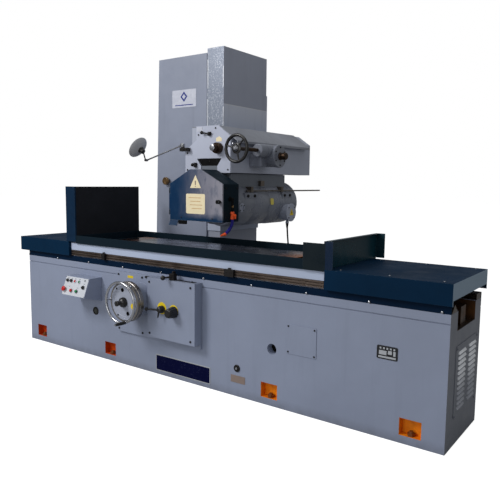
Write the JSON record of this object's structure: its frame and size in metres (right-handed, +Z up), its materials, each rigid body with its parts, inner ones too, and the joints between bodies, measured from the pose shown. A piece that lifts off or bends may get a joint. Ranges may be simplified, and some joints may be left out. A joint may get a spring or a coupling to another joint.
{
  "type": "surface grinder",
  "caption": "Long-bed horizontal-spindle surface grinder: hydraulic table with magnetic chuck, column, rising wheelhead, guards, handwheels and control box.",
  "frame": {"origin": "on the floor, at the middle of the bed's footprint", "axes": "+X along the bed to the operator's right, +Y away from the operator towards the column, +Z up"},
  "size_m": [3.692, 2.172, 2.487],
  "materials": {
    "grey_paint": "semi-gloss enamel",
    "navy_paint": "semi-gloss enamel",
    "ground_iron": "ground",
    "zinc_steel": "plated",
    "dark_steel": "oiled",
    "bright_steel": "ground",
    "chrome": "polished",
    "bronze": "turned",
    "black_plastic": "moulded",
    "red_plastic": "moulded",
    "green_plastic": "moulded",
    "blue_plastic": "moulded",
    "cable_rubber": "matt sheath",
    "abrasive": "vitrified grit",
    "lamp_enamel": "gloss enamel",
    "orange_plastic": "moulded"
  },
  "bodies": {
    "frame": {"bed": "grey_paint", "bed_ways": "ground_iron", "levelling_bolts": "zinc_steel", "rim_strips": "navy_paint", "louvre_panels": "grey_paint", "fittings": "navy_paint", "apron_plate": "grey_paint", "apron_case": "grey_paint", "control_box": "grey_paint", "column_base": "grey_paint", "column": "grey_paint", "column_ways": "ground_iron", "way_covers": "grey_paint", "lift_gearbox": "ground_iron", "cable_duct": "grey_paint", "piston_rod": "chrome", "pump_unit": "dark_steel"},
    "table": {"table": "ground_iron", "magnetic_chuck": "bright_steel", "trough": "navy_paint", "left_guard": "navy_paint", "right_guard": "navy_paint", "end_covers": "navy_paint", "dog_rail": "dark_steel", "table_cylinder": "dark_steel"},
    "carriage": {"carriage": "grey_paint", "front_plate": "grey_paint", "roof_cover": "grey_paint", "slide_covers": "grey_paint", "cross_gearbox": "grey_paint", "lamp_bracket": "dark_steel"},
    "lift_screw": {"lift_screw": "bright_steel"},
    "wheelhead": {"ram": "grey_paint", "spindle_housing": "grey_paint", "rear_bell": "grey_paint", "wheel_guard": "navy_paint", "terminal_box": "grey_paint", "motor_cable": "cable_rubber", "trip_rod": "bright_steel", "coolant_valve": "orange_plastic", "coolant_hose": "blue_plastic"},
    "guard_door": {"guard_door": "navy_paint"},
    "spindle": {"spindle": "bright_steel", "grinding_wheel": "abrasive"},
    "main_handwheel": {"main_handwheel": "chrome"},
    "cross_handwheel": {"cross_handwheel": "black_plastic"},
    "reversing_lever": {"reversing_lever": "dark_steel"},
    "speed_lever": {"speed_lever": "black_plastic"},
    "speed_knob": {"speed_knob": "black_plastic"},
    "feed_knob": {"feed_knob": "bronze"},
    "carriage_lever": {"carriage_lever": "dark_steel"},
    "valve_lever": {"valve_lever": "orange_plastic"},
    "lamp_arm": {"lamp_arm": "dark_steel"},
    "lamp_head": {"lamp_head": "lamp_enamel"},
    "estop_button": {"estop_button": "red_plastic"},
    "stop_button": {"stop_button": "red_plastic"},
    "start_button": {"start_button": "green_plastic"},
    "pump_button": {"pump_button": "black_plastic"},
    "feed_button": {"feed_button": "black_plastic"},
    "selector_switch": {"selector_switch": "black_plastic"}
  },
  "joints": [
    {"name": "table_travel", "type": "slide", "parent": "frame", "child": "table", "axis": [1, 0, 0], "range_m": [-0.8, 0.62]},
    {"name": "carriage_lift", "type": "slide", "parent": "frame", "child": "carriage", "axis": [0, 0, 1], "range_m": [-0.04, 0.24]},
    {"name": "lift_screw_spin", "type": "hinge", "parent": "frame", "child": "lift_screw", "pos_m": [-0.546, 0.925, 1.5], "axis": [0, 0, 1], "range_deg": [-720, 4320]},
    {"name": "wheelhead_cross", "type": "slide", "parent": "carriage", "child": "wheelhead", "axis": [0, 1, 0], "range_m": [-0.33, 0.015]},
    {"name": "spindle_spin", "type": "hinge", "parent": "wheelhead", "child": "spindle", "pos_m": [-0.16, 0.1, 1.21], "axis": [0, 1, 0], "continuous": true},
    {"name": "guard_door_hinge", "type": "hinge", "parent": "wheelhead", "child": "guard_door", "pos_m": [-0.421, 0.024, 1.23], "axis": [0, 0, -1], "range_deg": [0, 110]},
    {"name": "main_handwheel_turn", "type": "hinge", "parent": "frame", "child": "main_handwheel", "pos_m": [-0.396, -0.5, 0.535], "axis": [0, 1, 0], "continuous": true},
    {"name": "cross_handwheel_turn", "type": "hinge", "parent": "carriage", "child": "cross_handwheel", "pos_m": [0.12, 0.14, 1.618], "axis": [0, 1, 0], "continuous": true},
    {"name": "reversing_lever_swing", "type": "hinge", "parent": "frame", "child": "reversing_lever", "pos_m": [-0.049, -0.335, 0.735], "axis": [0, 0, 1], "range_deg": [-20, 20]},
    {"name": "speed_lever_swing", "type": "hinge", "parent": "frame", "child": "speed_lever", "pos_m": [-0.126, -0.4, 0.505], "axis": [0, 1, 0], "range_deg": [-45, 45]},
    {"name": "speed_knob_turn", "type": "hinge", "parent": "frame", "child": "speed_knob", "pos_m": [-0.015, -0.4, 0.5], "axis": [0, 1, 0], "range_deg": [-135, 135]},
    {"name": "feed_knob_turn", "type": "hinge", "parent": "carriage", "child": "feed_knob", "pos_m": [-0.118, 0.2, 1.63], "axis": [0, 1, 0], "range_deg": [-135, 135]},
    {"name": "carriage_lever_swing", "type": "hinge", "parent": "carriage", "child": "carriage_lever", "pos_m": [-0.205, 0.22, 1.738], "axis": [0, 1, 0], "range_deg": [-30, 30]},
    {"name": "coolant_cock_turn", "type": "hinge", "parent": "wheelhead", "child": "valve_lever", "pos_m": [0.145, 0.102, 1.142], "axis": [1, 0, 0], "range_deg": [0, 90]},
    {"name": "lamp_arm_swing", "type": "hinge", "parent": "carriage", "child": "lamp_arm", "pos_m": [-0.466, 0.215, 1.66], "axis": [0, 0, 1], "range_deg": [-35, 25]},
    {"name": "lamp_head_tilt", "type": "hinge", "parent": "lamp_arm", "child": "lamp_head", "pos_m": [-0.851, 0.2, 1.549], "axis": [0, 1, 0], "range_deg": [-20, 30]},
    {"name": "pump_button_press", "type": "slide", "parent": "frame", "child": "pump_button", "axis": [0, 0.9352, -0.3541], "range_m": [0, 0.006], "stiffness_N_per_m": 500, "springref_m": -0.001},
    {"name": "feed_button_press", "type": "slide", "parent": "frame", "child": "feed_button", "axis": [0, 0.9352, -0.3541], "range_m": [0, 0.006], "stiffness_N_per_m": 500, "springref_m": -0.001},
    {"name": "estop_button_press", "type": "slide", "parent": "frame", "child": "estop_button", "axis": [0, 0.9352, -0.3541], "range_m": [0, 0.006], "stiffness_N_per_m": 500, "springref_m": -0.001},
    {"name": "stop_button_press", "type": "slide", "parent": "frame", "child": "stop_button", "axis": [0, 0.9352, -0.3541], "range_m": [0, 0.006], "stiffness_N_per_m": 500, "springref_m": -0.001},
    {"name": "start_button_press", "type": "slide", "parent": "frame", "child": "start_button", "axis": [0, 0.9352, -0.3541], "range_m": [0, 0.006], "stiffness_N_per_m": 500, "springref_m": -0.001},
    {"name": "selector_switch_turn", "type": "hinge", "parent": "frame", "child": "selector_switch", "pos_m": [-0.8885, -0.42544, 0.5728], "axis": [0, -0.9352, 0.3541], "range_deg": [-45, 45]}
  ],
  "couplings": [
    {"joint": "lift_screw_spin", "follows": "carriage_lift", "rad_per_m": 314.16}
  ]
}
